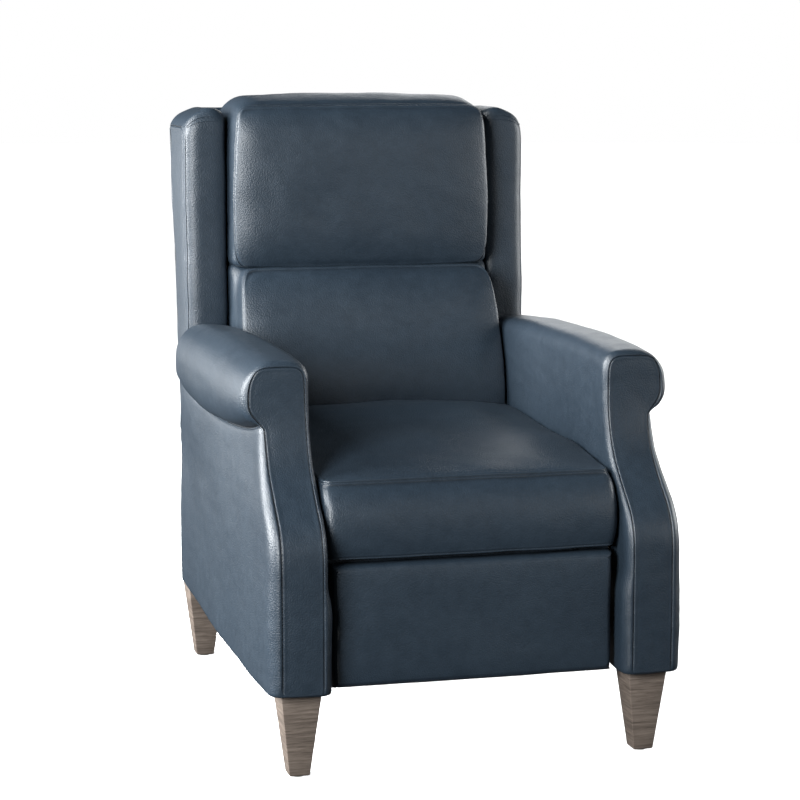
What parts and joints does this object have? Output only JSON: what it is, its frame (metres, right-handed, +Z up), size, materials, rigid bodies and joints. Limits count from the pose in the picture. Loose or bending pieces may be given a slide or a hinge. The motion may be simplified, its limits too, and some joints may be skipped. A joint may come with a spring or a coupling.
{
  "type": "recliner armchair",
  "caption": "Push-back recliner armchair with wings, rolled arms, high square tapered legs and a padded footrest that folds out on steel links.",
  "frame": {"origin": "centre of the footprint on the floor, directly below the middle of the overall box", "axes": "+X to the right as seen from the front, +Y towards the back, +Z up; the front faces -Y"},
  "size_m": [0.774, 1.03, 1.122],
  "materials": {
    "leather": "satin",
    "leg_wood": "matte",
    "frame_wood": "matte",
    "mechanism_steel": "satin",
    "zinc_hardware": "satin",
    "spring_wire": "satin",
    "nylon": "satin",
    "deck_cloth": "matte"
  },
  "bodies": {
    "base": {"leg_front_left": "leg_wood", "leg_front_right": "leg_wood", "leg_rear_left": "leg_wood", "leg_rear_right": "leg_wood", "leg_bolts": "zinc_hardware", "leg_glides": "nylon", "arm_frame_left": "frame_wood", "arm_frame_right": "frame_wood", "arm_cover_left": "leather", "arm_cover_right": "leather", "arm_roll_left": "leather", "arm_roll_right": "leather", "base_rail_front": "frame_wood", "base_rail_rear": "frame_wood", "rear_panel_rail": "frame_wood", "rear_panel": "leather", "channel_left": "mechanism_steel", "channel_right": "mechanism_steel", "cross_tubes": "mechanism_steel", "channel_bolts": "zinc_hardware", "pivot_bracket_left": "mechanism_steel", "pivot_bracket_right": "mechanism_steel"},
    "back": {"back_board_left": "frame_wood", "back_board_right": "frame_wood", "back_rails": "frame_wood", "back_springs": "spring_wire", "back_strap_left": "mechanism_steel", "back_strap_right": "mechanism_steel", "back_bolts": "zinc_hardware", "outside_back": "leather", "wing_left": "leather", "wing_right": "leather", "wing_boards": "frame_wood", "wing_spacers": "frame_wood", "lumbar_cushion": "leather", "head_cushion": "leather"},
    "seat": {"seat_rail_front": "frame_wood", "seat_rail_rear": "frame_wood", "seat_rail_left": "frame_wood", "seat_rail_right": "frame_wood", "seat_springs": "spring_wire", "spring_clips": "zinc_hardware", "seat_deck": "deck_cloth", "seat_cushion": "leather", "slide_bar_left": "mechanism_steel", "slide_bar_right": "mechanism_steel", "glide_blocks": "nylon", "link_bracket_left": "mechanism_steel", "link_bracket_right": "mechanism_steel"},
    "main_links": {"main_link_left": "mechanism_steel", "main_link_right": "mechanism_steel", "link_cross_tube": "mechanism_steel"},
    "guide_links": {"guide_link_left": "mechanism_steel", "guide_link_right": "mechanism_steel"},
    "carrier_links": {"carrier_link_left": "mechanism_steel", "carrier_link_right": "mechanism_steel"},
    "footrest": {"footrest_bracket_left": "mechanism_steel", "footrest_bracket_right": "mechanism_steel", "footrest_board": "frame_wood", "footrest_pad": "leather"}
  },
  "joints": [
    {"name": "recline", "type": "hinge", "parent": "base", "child": "back", "pos_m": [0, 0.285, 0.262], "axis": [-1, 0, 0], "range_deg": [0, 28]},
    {"name": "seat_slide", "type": "slide", "parent": "base", "child": "seat", "axis": [0, -1, 0], "range_m": [0, 0.055]},
    {"name": "footrest_open", "type": "hinge", "parent": "seat", "child": "main_links", "pos_m": [0, -0.388, 0.318], "axis": [-1, 0, 0], "range_deg": [0, 110]},
    {"name": "guide_pivot", "type": "hinge", "parent": "seat", "child": "guide_links", "pos_m": [0, -0.3651, 0.2987], "axis": [-1, 0, 0], "range_deg": [0, 110]},
    {"name": "elbow_pivot", "type": "hinge", "parent": "main_links", "child": "carrier_links", "pos_m": [0, -0.313, 0.1881], "axis": [1, 0, 0], "range_deg": [0, 110]},
    {"name": "panel_pivot", "type": "hinge", "parent": "carrier_links", "child": "footrest", "pos_m": [0, -0.428, 0.285], "axis": [-1, 0, 0], "range_deg": [0, 88]}
  ],
  "couplings": [
    {"joint": "seat_slide", "follows": "recline", "m_per_rad": 0.1125},
    {"joint": "guide_pivot", "follows": "footrest_open", "ratio": 1},
    {"joint": "elbow_pivot", "follows": "footrest_open", "ratio": 1},
    {"joint": "panel_pivot", "follows": "footrest_open", "ratio": 0.8}
  ]
}
